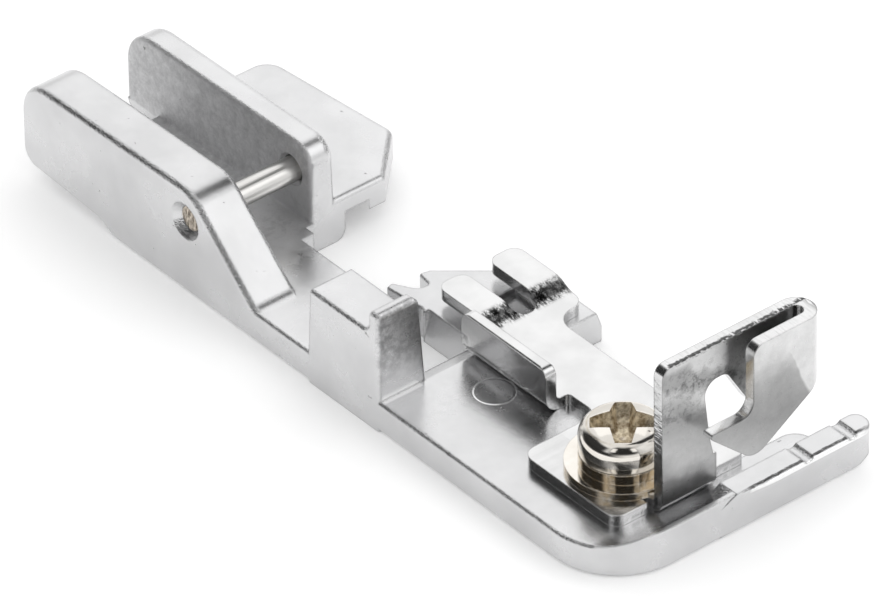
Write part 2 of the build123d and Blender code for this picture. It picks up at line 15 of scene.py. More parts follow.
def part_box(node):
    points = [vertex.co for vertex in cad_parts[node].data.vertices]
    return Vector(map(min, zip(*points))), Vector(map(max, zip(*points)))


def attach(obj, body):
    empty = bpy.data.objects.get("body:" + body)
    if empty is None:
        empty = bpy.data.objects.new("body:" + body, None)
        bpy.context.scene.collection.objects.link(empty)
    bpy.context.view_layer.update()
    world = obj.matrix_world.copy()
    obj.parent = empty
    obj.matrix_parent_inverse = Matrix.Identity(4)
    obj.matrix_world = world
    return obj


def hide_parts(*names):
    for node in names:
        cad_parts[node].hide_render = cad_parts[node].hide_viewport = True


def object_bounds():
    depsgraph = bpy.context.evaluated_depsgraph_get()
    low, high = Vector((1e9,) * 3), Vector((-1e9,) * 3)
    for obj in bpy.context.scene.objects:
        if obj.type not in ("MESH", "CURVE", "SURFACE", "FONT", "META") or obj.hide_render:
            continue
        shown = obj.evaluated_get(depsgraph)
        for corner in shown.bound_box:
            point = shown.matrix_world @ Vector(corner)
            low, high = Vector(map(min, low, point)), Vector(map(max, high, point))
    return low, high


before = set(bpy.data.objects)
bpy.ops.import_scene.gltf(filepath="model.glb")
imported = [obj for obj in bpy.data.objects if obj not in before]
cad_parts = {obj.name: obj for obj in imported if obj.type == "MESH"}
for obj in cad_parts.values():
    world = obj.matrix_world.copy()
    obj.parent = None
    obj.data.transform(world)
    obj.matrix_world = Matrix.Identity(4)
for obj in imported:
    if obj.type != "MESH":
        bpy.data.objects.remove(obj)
scene = bpy.context.scene
MM = 0.001
cad_low, cad_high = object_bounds()
print("CAD box in mm:", [round(v / MM, 2) for v in (*cad_low, *cad_high)])

# %% [markdown]
# Every surface here is plated metal, so one small toolkit serves all the materials. Each helper
# adds one kind of node and joins it up, which keeps the finishes below short enough to read. The
# first half makes patterns and mixes them. A value is a node's output or a plain number.


# %% Node helpers that make and mix patterns
class Patterns:
    """A metal node material under construction."""

    def __init__(self, name):
        self.material = bpy.data.materials.new(name)
        self.material.use_nodes = True
        self.nodes = self.material.node_tree.nodes
        self.shader = self.nodes["Principled BSDF"]
        self.use("Metallic", 1.0)
        self.coords = self.nodes.new("ShaderNodeTexCoord").outputs["Object"]
        self.normal = self.nodes.new("ShaderNodeNewGeometry").outputs["Normal"]
        self.places = self.split(self.coords)
        self.normals = self.split(self.normal)

    def join(self, value, socket):
        """Feeds a socket from a node's output, or gives it a plain number."""
        if isinstance(value, (int, float)):
            socket.default_value = value
        else:
            self.material.node_tree.links.new(value, socket)

    def use(self, name, value):
        """Feeds one of the shader's inputs."""
        self.join(value, self.shader.inputs[name])

    def split(self, vector):
        """The three parts of a vector, by name."""
        node = self.nodes.new("ShaderNodeSeparateXYZ")
        self.join(vector, node.inputs["Vector"])
        return node.outputs

    def mapped(self, scale, turn=(0.0, 0.0, 0.0)):
        """Object coordinates, stretched and turned."""
        node = self.nodes.new("ShaderNodeMapping")
        node.inputs["Scale"].default_value = scale
        node.inputs["Rotation"].default_value = turn
        self.join(self.coords, node.inputs["Vector"])
        return node.outputs["Vector"]

    def noise(self, per_metre, detail=3.0, rough=0.55, vector=None, twist=0.0):
        """Noise with so many cells to the metre."""
        node = self.nodes.new("ShaderNodeTexNoise")
        node.inputs["Scale"].default_value = per_metre
        node.inputs["Detail"].default_value = detail
        node.inputs["Roughness"].default_value = rough
        node.inputs["Distortion"].default_value = twist
        self.join(vector or self.coords, node.inputs["Vector"])
        return node.outputs["Fac"]

    def streaks(self, per_metre, detail=3.0, rough=0.55, turn=(0.0, 0.0, 0.0)):
        """Noise with its own number of cells to the metre along each axis."""
        return self.noise(1.0, detail, rough, vector=self.mapped(per_metre, turn))

    def ramp(self, value, low, high, dark=0.0, light=1.0):
        """Value between two levels, spread over two results."""
        node = self.nodes.new("ShaderNodeMapRange")
        node.inputs["From Min"].default_value = low
        node.inputs["From Max"].default_value = high
        node.inputs["To Min"].default_value = dark
        node.inputs["To Max"].default_value = light
        self.join(value, node.inputs["Value"])
        return node.outputs["Result"]

    def curve(self, value, stops):
        """Value between 0 and 1 drawn through stops of (place, level)."""
        node = self.nodes.new("ShaderNodeValToRGB")
        elements = node.color_ramp.elements
        while len(elements) < len(stops):
            elements.new(0.5)
        # The elements take their order from their places, so those are all set first.
        for element, (place, _) in zip(elements, stops):
            element.position = place
        for element, (_, level) in zip(elements, stops):
            element.color = (level, level, level, 1.0)
        self.join(value, node.inputs["Fac"])
        return node.outputs["Color"]

    def maths(self, kind, first, second=0.0):
        """One operation on two values, or on the first alone."""
        node = self.nodes.new("ShaderNodeMath")
        node.operation = kind
        self.join(first, node.inputs[0])
        self.join(second, node.inputs[1])
        return node.outputs["Value"]

    def chain(self, kind, values):
        """One result from several values, taken in one after the other."""
        result = values[0]
        for value in values[1:]:
            result = self.maths(kind, result, value)
        return result

    def product(self, *values):
        return self.chain("MULTIPLY", values)

    def total(self, *values):
        return self.chain("ADD", values)

    def most(self, *values):
        return self.chain("MAXIMUM", values)

    def weighed(self, *terms):
        """Sum of several values, each times its own weight."""
        return self.total(*[self.product(value, weight) for value, weight in terms])

    def blend(self, factor, first, second):
        """Colour between two colours."""
        node = self.nodes.new("ShaderNodeMix")
        node.data_type = "RGBA"
        self.join(factor, node.inputs["Factor"])
        for key, value in (("A", first), ("B", second)):
            socket = [s for s in node.inputs if s.name == key and s.type == "RGBA"][0]
            if isinstance(value, tuple):
                socket.default_value = (*value, 1.0)
            else:
                self.join(value, socket)
        return [s for s in node.outputs if s.type == "RGBA"][0]

    def layered(self, colour, *layers):
        """A colour with others laid over it, each given as (how much, colour)."""
        for cover, over in layers:
            colour = self.blend(cover, colour, over)
        return colour


# %% [markdown]
# The second half tells a material where it is on the piece. Marks on real metal sit at a place: in
# a corner, along an edge, on the faces that lean. Places are in millimetres, in the part's frame.


# %% Node helpers that find places
class Finish(Patterns):
    """Patterns, with masks for places on the piece."""

    def axis(self, name):
        """One of the object coordinates, in metres."""
        return self.places[name]

    def ragged(self, name, noise, reach):
        """An axis on which every place wanders by a reach in mm."""
        return self.total(self.axis(name), self.ramp(noise, 0.3, 0.7, -reach * MM, reach * MM))

    def step(self, value, low, high, dark=0.0, light=1.0):
        """Ramp between two places in mm."""
        return self.ramp(value, low * MM, high * MM, dark, light)

    def facing(self, name):
        """How far the surface faces along an axis, from 0 to 1, either way."""
        return self.maths("ABSOLUTE", self.normals[name])

    def within(self, name, low, high, soft=0.3):
        """1 between two places along an axis, falling to 0 over a soft border."""
        rise = self.step(self.axis(name), low - soft, low + soft)
        fall = self.step(self.axis(name), high + soft, high - soft)
        return self.product(rise, fall)

    def region(self, low, high, soft):
        """1 inside a box, 0 outside."""
        sides = zip("XYZ", low, high)
        return self.product(*[self.within(name, *ends, soft) for name, *ends in sides])

    def distance(self, place, vector=None):
        """Distance in metres from a point."""
        node = self.nodes.new("ShaderNodeVectorMath")
        node.operation = "DISTANCE"
        self.join(vector or self.coords, node.inputs[0])
        node.inputs[1].default_value = [v * MM for v in place]
        return node.outputs["Value"]

    def off_axis(self, x, y):
        """Distance in metres from an upright axis."""
        return self.distance((x, y, 0.0), self.mapped((1.0, 1.0, 0.0)))

    def spot(self, place, radius):
        """1 at a point, falling to 0 at a radius."""
        return self.step(self.distance(place), radius, 0.0)

    def ring(self, place, radius, width):
        """1 on a thin ring round a point."""
        off = self.maths("SUBTRACT", self.distance(place), radius * MM)
        return self.step(self.maths("ABSOLUTE", off), width, 0.0)

    def rounded(self, radius, samples=4):
        """Normal with every edge rounded by a radius."""
        node = self.nodes.new("ShaderNodeBevel")
        node.samples = samples
        node.inputs["Radius"].default_value = radius * MM
        return node.outputs["Normal"]

    def near_edge(self, rounded):
        """1 on an edge and 0 on a flat face, from how far rounding turns the normal."""
        node = self.nodes.new("ShaderNodeVectorMath")
        node.operation = "DOT_PRODUCT"
        self.join(rounded, node.inputs[0])
        self.join(self.normal, node.inputs[1])
        return self.ramp(node.outputs["Value"], 0.999, 0.93)

    def bump(self, height, depth, normal=None):
        """Relief of a real depth in mm."""
        node = self.nodes.new("ShaderNodeBump")
        node.inputs["Strength"].default_value = 1.0
        node.inputs["Distance"].default_value = depth * MM
        self.join(height, node.inputs["Height"])
        if normal is not None:
            self.join(normal, node.inputs["Normal"])
        return node.outputs["Normal"]


helpers = [name for name in dir(Finish) if not name.startswith("_")]
print("toolkit of", len(helpers), "helpers")

# %% [markdown]
# The casting was tumbled before it was plated, so it is satin: soft highlights, a fine pebble and
# a few pits. The media couldn't reach between the ears, so the rough mould skin stays there. The
# colour also carries painted light: grey shade in the corners, dark reflection lines along edges
# and highlights. These are the places of such marks, each a box given by its low corner, its high
# corner and how soft its border is.

# %% Places on the casting
CLEVIS_FLOOR = ((-7.15, 5.0, 2.0), (-1.95, 28.4, 8.2), 0.1)
SKIN_BORDER = (7.4, 10.4)
# The next boxes place painted grey shade: at the foot of the ears, on the tab face towards its top,
# at the tab's foot and beside the guide.
EAR_FOOT = ((-7.15, 9.6, 2.0), (-1.9, 13.5, 4.5), 1.2)
TAB_FACE = ((-10.5, -6.9, 2.4), (-5.7, -6.45, 8.9), 0.15)
TAB_SHADE_RISE = (3.0, 6.4)
TAB_FOOT = ((-8.6, -10.6, 2.1), (-4.4, -8.0, 2.4), 1.0)
BESIDE_GUIDE = ((-5.2, -16.5, 2.1), (-2.9, -7.6, 2.4), 1.0)
# A painted highlight along the foot of the block; the ejector ring mark is real relief, painted
# lighter as a highlight.
BLOCK_FOOT_HIGHLIGHT = ((-10.6, -6.96, 2.2), (-7.2, -6.62, 2.42), 0.06)
EJECTOR_RING = ((-4.35, -10.24, 2.25), 1.32, 0.10)
# The toe's front top edge gets a painted dark reflection line and a painted highlight below it.
TOE_ALONG = ("X", 0.4, 9.7, 0.5)
TOE_DARK_LINE_HIGH = ("Z", 2.84, 3.1, 0.02)
TOE_HIGHLIGHT_HIGH = ("Z", 2.60, 2.87, 0.03)


# %% Marks, painted shade and painted highlights on the casting
def painted_corner_shade(f, grit):
    """Painted grey shade in the corners, and the tab face painted darker towards its top."""
    return f.product(
        f.most(
            f.product(f.region(*TAB_FOOT), 0.35),
            f.region(*BESIDE_GUIDE),
            f.product(f.region(*EAR_FOOT), 0.9),
            f.product(f.region(*TAB_FACE), f.step(f.axis("Z"), *TAB_SHADE_RISE)),
        ),
        f.ramp(grit, 0.42, 0.60),
    )


def painted_dark_edges(f, edge, grit):
    """Painted dark reflection lines along the rounded edges of the faces that lean, ragged by grit.
    """
    lean = f.facing("Z")
    sloped = f.product(f.ramp(lean, 0.30, 0.45), f.ramp(lean, 0.97, 0.90))
    return f.product(edge, sloped, f.ramp(grit, 0.40, 0.56), 0.6)


def painted_toe_lines(f, fine, grit):
    """Painted dark reflection line on the toe bar's front top edge, and a painted highlight below
    it.
    """
    front = f.ragged("Y", fine, 0.05)
    along = f.within(*TOE_ALONG)
    toe_dark_line = f.product(
        f.step(front, -28.24, -28.20),
        f.step(front, -27.99, -28.04),
        along,
        f.within(*TOE_DARK_LINE_HIGH),
        f.ramp(grit, 0.34, 0.48, 0.35, 0.9),
    )
    toe_highlight = f.product(f.step(front, -28.18, -28.24), f.within(*TOE_HIGHLIGHT_HIGH), along)
    return toe_dark_line, toe_highlight


def rough_fillets(f):
    """1 on the fillets that run round the blocks, where the casting keeps its grain."""
    lean, side = f.facing("Z"), f.facing("X")
    return f.product(f.ramp(lean, 0.25, 0.40), f.ramp(lean, 0.999, 0.98), f.ramp(side, 0.06, 0.20))


# %% [markdown]
# Now the finish itself. One noise drives the pebble, a slow one the faint cloudiness, and a sparse
# one the pits. Colours are laid over each other from the plate up, and relief is a plain sum.

# %% Satin chrome for the casting
SATIN_DARK = (0.60, 0.60, 0.605)
SATIN_LIGHT = (0.71, 0.71, 0.715)
SKIN_DARK = (0.60, 0.60, 0.605)
SKIN_LIGHT = (0.86, 0.86, 0.865)
CORNER_SHADE = (0.30, 0.30, 0.305)
PAINTED_EDGE_DARK = (0.10, 0.10, 0.10)
PAINTED_TOE_DARK = (0.08, 0.08, 0.08)
PAINTED_HIGHLIGHT = (0.97, 0.97, 0.97)
PIT = (0.45, 0.45, 0.45)
SATIN_ROUGHNESS = (0.22, 0.30)
CASTING_EDGE = 0.23
CASTING_RELIEF = 0.014


def satin_chrome():
    f = Finish("satin_chrome")
    cloud = f.noise(180.0, detail=4.0)
    blotch = f.noise(420.0, detail=5.0, rough=0.7)
    fine = f.noise(2600.0, detail=4.0)
    grain = f.noise(7000.0, detail=2.0)
    grit = f.noise(1700.0, detail=5.0, rough=0.75)
    pits = f.ramp(f.noise(1500.0, detail=2.0, twist=0.6), 0.735, 0.775)
    edge_normal = f.rounded(CASTING_EDGE)
    edge = f.near_edge(edge_normal)

    skin = f.product(f.region(*CLEVIS_FLOOR), f.step(f.ragged("Y", blotch, 1.3), *SKIN_BORDER))
    # Painted grey shade in the corners and on the tab face.
    corner_shade = painted_corner_shade(f, grit)
    # Painted dark reflection line and painted highlight on the toe's front edge.
    toe_dark_line, toe_highlight = painted_toe_lines(f, fine, grit)
    ring = f.ring(*EJECTOR_RING)
    # Painted highlights: the ejector ring, a line at the block's foot and a line under the toe's
    # edge.
    painted_highlights = f.most(
        f.product(ring, 0.8),
        f.product(f.region(*BLOCK_FOOT_HIGHLIGHT), 0.7),
        f.product(toe_highlight, 0.95),
    )
    colour = f.layered(
        f.blend(f.ramp(cloud, 0.35, 0.65), SATIN_DARK, SATIN_LIGHT),
        (skin, f.blend(f.ramp(grit, 0.30, 0.70), SKIN_DARK, SKIN_LIGHT)),
        # painted grey shade in the corners
        (f.product(corner_shade, 0.75), CORNER_SHADE),
        # painted dark reflection lines along the leaning edges
        (painted_dark_edges(f, edge, grit), PAINTED_EDGE_DARK),
        # painted dark reflection line on the toe's edge
        (toe_dark_line, PAINTED_TOE_DARK),
        # painted highlights
        (painted_highlights, PAINTED_HIGHLIGHT),
        (pits, PIT),
    )
    satin = f.ramp(cloud, 0.3, 0.7, *SATIN_ROUGHNESS)
    height = f.weighed(
        (fine, 0.35),
        (grain, 0.10),
        (f.product(rough_fillets(f), grain), 4.0),
        (f.product(edge, fine), 1.6),
        (f.product(edge, grain), 2.6),
        (pits, -0.9),
        (ring, -1.1),
    )
    f.use("Base Color", colour)
    f.use("Roughness", f.weighed((satin, 1.0), (skin, 0.40), (corner_shade, 0.15), (pits, 0.2)))
    f.use("Normal", f.bump(height, CASTING_RELIEF, edge_normal))
    return f.material


casting_finish = satin_chrome()
print("satin chrome:", len(casting_finish.node_tree.nodes), "nodes")

# %% [markdown]
# The guide is stamped from bright rolled sheet and then chromed, so its flats are almost a mirror.
# The shears leave every cut edge torn over part of its depth, with fine lines across it. Places
# are in mm; each pair runs from where a mark is clear to where it is full.

# %% Cut edges of the sheet
TOP_EDGE = (13.08, 13.11)
TORN_FRONT = (-26.31, -26.26)
TORN_BACK = (-25.98, -26.08)
TORN_FOLD = (6.1, 6.8)
TORN_MORE = (3.2, 0.6, 0.0, 0.10)
STEM_SIDE = (-4.60, -4.63)
STEM_HIGH = ("Z", 2.9, 13.1)
BASE_EDGE = ("Z", 2.4, 2.65, 0.1)


def cut_edges(f, fine):
    """Masks for the torn top, the hair lines on it, the stem's side and the base's punched edge."""
    top_edge = f.step(f.axis("Z"), *TOP_EDGE)
    depth = f.ragged("Y", fine, 0.09)
    torn_place = f.most(
        f.product(f.step(depth, *TORN_FRONT), f.step(depth, *TORN_BACK)),
        f.step(f.axis("X"), *TORN_FOLD),
    )
    tear = f.total(f.streaks((3600.0, 700.0, 500.0), rough=0.7), f.step(f.axis("X"), *TORN_MORE))
    torn = f.product(torn_place, top_edge, f.ramp(tear, 0.42, 0.49))

    hair = f.streaks((9000.0, 900.0, 500.0), detail=2.0, turn=(0.0, 0.0, 0.4))
    hair = f.product(top_edge, f.ramp(hair, 0.45, 0.65))

    slant = f.streaks((1.0, 1200.0, 3600.0), detail=2.0, turn=(0.6, 0.0, 0.0))
    stem = f.product(f.step(f.axis("X"), *STEM_SIDE), f.within(*STEM_HIGH))
    side_lines = f.product(stem, f.ramp(slant, 0.35, 0.65))

    punched = f.streaks((6000.0, 6000.0, 900.0))
    upright = f.ramp(f.facing("Z"), 0.35, 0.15)
    cut = f.product(upright, f.within(*BASE_EDGE), f.ramp(punched, 0.40, 0.60), 0.5)
    return torn, hair, side_lines, cut


# %% [markdown]
# The hook was bent cold, and its leaves are not quite flat. The bands of grey that this gives them
# in reflection, drifting to one side, are painted shade: a curve of (height, brightness) draws the
# bands of each leaf. The press has rubbed the joggles, where the guide's fingers step over the
# deck, which leaves scratch relief; their dark is painted reflection.

# %% Places of the painted shade on the sheet
REAR_BANDS = (
    (0.08, 0.25), (0.20, 0.35), (0.27, 0.55), (0.38, 0.70), (0.50, 0.60), (0.60, 0.52),
    (0.70, 0.66), (0.775, 0.82), (0.83, 0.52), (0.92, 0.56), (0.97, 0.90),
)
FRONT_BANDS = (
    (0.20, 0.66), (0.30, 0.56), (0.47, 0.42), (0.60, 0.46), (0.72, 0.54), (0.84, 0.80),
    (0.95, 0.97),
)
REAR_SPAN = (0.4, 11.6)
FRONT_SPAN = (3.35, 14.55)
REAR_FACE = ("Y", -26.34, -26.24, 0.02)
FRONT_FACE = ("Y", -28.15, -27.95, 0.05)
BAND_DRIFT = 0.5
# A painted dark patch and a painted light spot on the rear leaf, and the front leaf's outer end
# painted lighter.
DARK_PATCH_HIGH = ("Z", 8.6, 12.4, 0.9)
PAINTED_LIGHT_SPOT = ((-1.24, -26.29, 9.75), 1.3)
PAINTED_LIGHT_END = (8.25, 8.65, 0.0, 0.95)
PAINTED_LIGHT_LEAN = 0.42
# The steep faces of the joggles, painted dark as reflection.
JOGGLE_LONG = ("Y", -6.5, -5.0, 0.25)
JOGGLE_HIGH = ("Z", 3.0, 3.9, 0.1)


def hook_painted_bands(f, wave):
    """How much painted shade the hook's leaves get, in bands of painted reflection, and 1 where the
    leaves are.
    """
    uneven = f.ramp(wave, 0.2, 0.8, -0.8 * MM, 0.8 * MM)
    drift = f.total(f.axis("Z"), f.product(f.axis("X"), BAND_DRIFT), uneven)
    cloud = f.noise(2300.0, detail=5.0, rough=0.75)
    mottle = f.ramp(cloud, 0.35, 0.65, 0.92, 1.03)

    # A painted dark patch high on the rear leaf, and a painted light spot lower on it.
    painted_dark_patch = f.product(f.within(*DARK_PATCH_HIGH), f.ramp(cloud, 0.46, 0.60, 0.0, 0.30))
    rear = f.product(f.curve(f.step(drift, *REAR_SPAN), REAR_BANDS), mottle)
    rear = f.total(f.maths("SUBTRACT", rear, painted_dark_patch), f.product(f.spot(*PAINTED_LIGHT_SPOT), 0.3))
    # The front leaf is painted lighter towards its outer end.
    across = f.weighed((f.axis("X"), 1.0), (f.axis("Z"), PAINTED_LIGHT_LEAN), (uneven, 0.3))
    front = f.curve(f.step(drift, *FRONT_SPAN), FRONT_BANDS)
    front = f.product(f.most(front, f.step(across, *PAINTED_LIGHT_END)), mottle)

    rear_face, front_face = f.within(*REAR_FACE), f.within(*FRONT_FACE)
    rear_painted_shade = f.product(rear_face, f.maths("SUBTRACT", 1.0, rear))
    front_painted_shade = f.product(front_face, f.maths("SUBTRACT", 1.0, front))
    return f.total(rear_painted_shade, front_painted_shade), f.total(rear_face, front_face)


def joggle_marks(f):
    """1 on the steep faces of the joggles, and the pattern of their scratch relief and painted dark
    reflection.
    """
    steep = f.ramp(f.facing("Z"), 0.998, 0.98)
    joggle = f.product(f.within(*JOGGLE_LONG), steep, f.within(*JOGGLE_HIGH))
    scrape = (2600.0, 1100.0, 1100.0)
    return joggle, f.streaks(scrape, detail=4.0, rough=0.8, turn=(0.0, 0.0, 0.5))


# %% [markdown]
# The sheet's surface still carries the roller's faint waviness, which bends reflections a little.

# %% Bright chrome for the sheet guide
SHEET_DARK = (0.68, 0.68, 0.68)
SHEET_LIGHT = (0.75, 0.75, 0.75)
TORN = (0.05, 0.05, 0.05)
CUT = (0.20, 0.20, 0.20)
HAIR = (0.30, 0.30, 0.30)
SIDE_LINES = (0.35, 0.35, 0.35)
BLACK = (0.0, 0.0, 0.0)
SHEET_ROUGHNESS = (0.15, 0.21)
SHEET_EDGE = 0.12
SHEET_RELIEF = 0.02


def bright_chrome():
    f = Finish("bright_chrome")
    wave = f.noise(420.0, detail=2.0)
    speck = f.noise(5200.0, rough=0.7)
    fine = f.noise(3800.0)
    torn, hair, side_lines, cut = cut_edges(f, fine)
    leaf_painted_shade, leaf = hook_painted_bands(f, wave)
    joggle, scratch_and_dark = joggle_marks(f)
    # The steep faces of the joggles are painted dark as reflection, ragged by the scratch pattern.
    joggle_painted_dark = f.product(joggle, f.ramp(scratch_and_dark, 0.44, 0.58, 0.97, 0.0))

    colour = f.layered(
        f.blend(f.ramp(wave, 0.35, 0.65), SHEET_DARK, SHEET_LIGHT),
        (f.product(torn, 0.95), TORN),
        (f.product(cut, 0.7), CUT),
        (f.product(hair, 0.16), HAIR),
        (f.product(side_lines, 0.25), SIDE_LINES),
        # painted shade: the reflection bands of the hook's leaves and the dark of the joggles
        (f.most(leaf_painted_shade, joggle_painted_dark, 0.0), BLACK),
    )
    polish = f.ramp(fine, 0.3, 0.7, *SHEET_ROUGHNESS)
    height = f.weighed(
        (wave, 1.0),
        (fine, 0.10),
        (speck, 0.16),
        (f.product(joggle, scratch_and_dark), 1.4),
        (torn, -0.5),
        (cut, -0.5),
        (side_lines, -0.5),
        (hair, -0.15),
    )
    f.use("Base Color", colour)
    f.use("Roughness", f.weighed((polish, 1.0), (torn, 0.12), (leaf, 0.12)))
    f.use("Normal", f.bump(height, SHEET_RELIEF, f.rounded(SHEET_EDGE)))
    return f.material


sheet_finish = bright_chrome()
print("bright chrome:", len(sheet_finish.node_tree.nodes), "nodes")

# %% [markdown]
# Nickel is warmer than chrome. The screw and its washers are turned and rolled steel with bright
# nickel on them. Old oil has dried brown in the recess and between the washers: dirt is no metal,
# so the metallic value falls where the oil lies. In the recess the brown is also painted shade,
# with the front arm left lighter.

# %% Warm nickel for the screw and the washers
NICKEL_DARK = (0.76, 0.72, 0.66)
NICKEL_LIGHT = (0.82, 0.79, 0.74)
OIL_AND_SHADE_DARK = (0.24, 0.17, 0.09)
OIL_LIGHT = (0.86, 0.75, 0.55)
OIL_FILM = (0.60, 0.47, 0.30)
OIL_METALLIC = 0.6
NICKEL_ROUGHNESS = (0.06, 0.11)
NICKEL_EDGE = 0.08
NICKEL_RELIEF = 0.012
SCREW_AXIS = (-3.74, -21.6)
RECESS_RIM = (2.28, 2.16)
RECESS_DEEP = (5.9, 5.6)
RECESS_FLOOR = (4.8, 5.0)
# The front arm of the recess gets less of the painted shade.
LIGHTER_FRONT_ARM = (-22.9, -22.0, 0.15, 1.0)
WASHERS_HIGH = ("Z", 3.0, 4.32, 0.08)


def oil_places(f, oil):
    """Masks for the oil and painted shade in the recess, and the oil between the washers."""
    inside = f.most(f.ramp(f.facing("Z"), 0.93, 0.86), f.step(f.axis("Z"), *RECESS_DEEP))
    recess_oil_and_shade = f.product(
        f.step(f.off_axis(*SCREW_AXIS), *RECESS_RIM),
        inside,
        f.step(f.axis("Z"), *RECESS_FLOOR),
        f.step(f.axis("Y"), *LIGHTER_FRONT_ARM),
    )
    upright = f.ramp(f.facing("Z"), 0.7, 0.5)
    return recess_oil_and_shade, f.product(f.within(*WASHERS_HIGH), upright, f.ramp(oil, 0.35, 0.60, 0.2, 0.9))


def warm_nickel():
    f = Finish("warm_nickel")
    wave = f.noise(700.0, detail=2.0)
    fine = f.noise(4200.0)
    oil = f.noise(2400.0, detail=4.0, rough=0.7)
    recess_oil_and_shade, film = oil_places(f, oil)
    colour = f.layered(
        f.blend(f.ramp(wave, 0.35, 0.65), NICKEL_DARK, NICKEL_LIGHT),
        (film, OIL_FILM),
        # brown oil and painted shade in the recess
        (f.product(recess_oil_and_shade, 0.95), f.blend(f.ramp(oil, 0.38, 0.62), OIL_AND_SHADE_DARK, OIL_LIGHT)),
    )
    polish = f.ramp(fine, 0.3, 0.7, *NICKEL_ROUGHNESS)
    height = f.weighed((wave, 1.0), (fine, 0.06))
    f.use("Base Color", colour)
    f.use("Metallic", f.ramp(recess_oil_and_shade, 0.0, 1.0, 1.0, OIL_METALLIC))
    f.use("Roughness", f.weighed((polish, 1.0), (recess_oil_and_shade, 0.25)))
    f.use("Normal", f.bump(height, NICKEL_RELIEF, f.rounded(NICKEL_EDGE)))
    return f.material


nickel_finish = warm_nickel()
print("warm nickel:", len(nickel_finish.node_tree.nodes), "nodes")

# %% [markdown]
# The cross pin is wire drawn through a die, with faint lines along it. Its end faces are painted
# darker and browner as shade, with streaks across them.

# %% Drawn nickel for the pin
WIRE_DARK = (0.60, 0.59, 0.57)
WIRE_LIGHT = (0.76, 0.75, 0.73)
END_DARK = (0.10, 0.08, 0.06)
END_LIGHT = (0.80, 0.71, 0.60)
WIRE_ROUGHNESS = 0.28
WIRE_RELIEF = 0.02


def drawn_nickel():
    f = Finish("drawn_nickel")
    lines = f.streaks((60.0, 3600.0, 3600.0))
    end_streaks = f.streaks((900.0, 5200.0, 1300.0), detail=4.0, rough=0.75, turn=(0.35, 0.0, 0.0))
    colour = f.layered(
        f.blend(f.ramp(lines, 0.35, 0.65), WIRE_DARK, WIRE_LIGHT),
        # the end faces, painted darker as shade
        (f.ramp(f.facing("X"), 0.7, 0.9), f.blend(f.ramp(end_streaks, 0.42, 0.62), END_DARK, END_LIGHT)),
    )
    f.use("Base Color", colour)
    f.use("Roughness", WIRE_ROUGHNESS)
    f.use("Normal", f.bump(lines, WIRE_RELIEF))
    return f.material


# %% [markdown]
# Each CAD node keeps its own mesh, and only gets its finish.


# %% Dressing the CAD nodes
def dress(obj, material):
    """Gives an object one material."""
    obj.data.materials.clear()
    obj.data.materials.append(material)


node_finishes = {
    "foot_body": casting_finish,
    "guide_plate": sheet_finish,
    "pivot_pin": drawn_nickel(),
    "clamp_screw": nickel_finish,
    "spring_washer": nickel_finish,
    "flat_washer": nickel_finish,
}
for name, finish in node_finishes.items():
    dress(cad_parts[name], finish)
print("dressed", len(node_finishes), "of", len(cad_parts), "nodes")

# %% [markdown]
# The clamp screw is the piece that catches the eye, so it gets its full form here: a domed head
# with a wide rounded shoulder, the cross recess with its sloping walls, the small dimple beside it,
# and a real M3 thread down the shank. It stands for the plainer CAD screw at the same place.
# Heights are in mm above the underside of the head.

# %% Screw sizes
SCREW_LOW, SCREW_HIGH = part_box("clamp_screw")
SCREW_MIDDLE = (SCREW_LOW + SCREW_HIGH) / 2 / MM
HEAD_BOTTOM = 4.25
HEAD_RADIUS = 2.74
HEAD_TALL = 2.3
HEAD_TOP = HEAD_BOTTOM + HEAD_TALL
HEAD_RIM = ((0.0, 0.12), (-0.04, 0.04), (-0.12, 0.0))
CROWN_RISE = 0.36
CROWN_STEPS = 12
SHOULDER = 0.95
SHOULDER_STEPS = 16
NECK = 0.1
SHANK_RADIUS = 1.5
THREAD_PITCH = 0.5
THREAD_DEPTH = 0.27
THREAD_STEEPNESS = 1.15
THREAD_TOP = -0.3
THREAD_RUN_OUT = 0.4
THREAD_CHAMFER = 0.3
THREAD_STEP = 0.05
SCREW_SIDES = 96
print("screw box in mm:", [round(v / MM, 2) for v in (*SCREW_LOW, *SCREW_HIGH)])


# %% Screw profile
def screw_profile():
    """Points of (radius, height) from crown to foot, and the row where the thread starts."""
    flat = HEAD_RADIUS - SHOULDER
    points = []
    for i in range(CROWN_STEPS + 1):
        radius = flat * i / CROWN_STEPS
        points.append((radius, HEAD_TALL - CROWN_RISE * (radius / flat) ** 2))
    lean = math.atan(2 * CROWN_RISE / flat)
    inner = flat - SHOULDER * math.sin(lean)
    middle = HEAD_TALL - CROWN_RISE - SHOULDER * math.cos(lean)
    for i in range(1, SHOULDER_STEPS + 1):
        t = lean + (math.pi / 2 - lean) * i / SHOULDER_STEPS
        points.append((inner + SHOULDER * math.sin(t), middle + SHOULDER * math.cos(t)))
    grow = HEAD_RADIUS / points[-1][0]
    points = [(radius * grow, height) for radius, height in points]
    points += [(HEAD_RADIUS + out, height) for out, height in HEAD_RIM]
    points += [(SHANK_RADIUS + NECK, 0.0), (SHANK_RADIUS, -NECK)]
    thread_start = len(points)
    foot = SCREW_LOW.z / MM - HEAD_BOTTOM
    steps = int((-NECK - foot) / THREAD_STEP)
    points += [(SHANK_RADIUS, -NECK + (foot + NECK) * i / steps) for i in range(1, steps + 1)]
    return points, thread_start


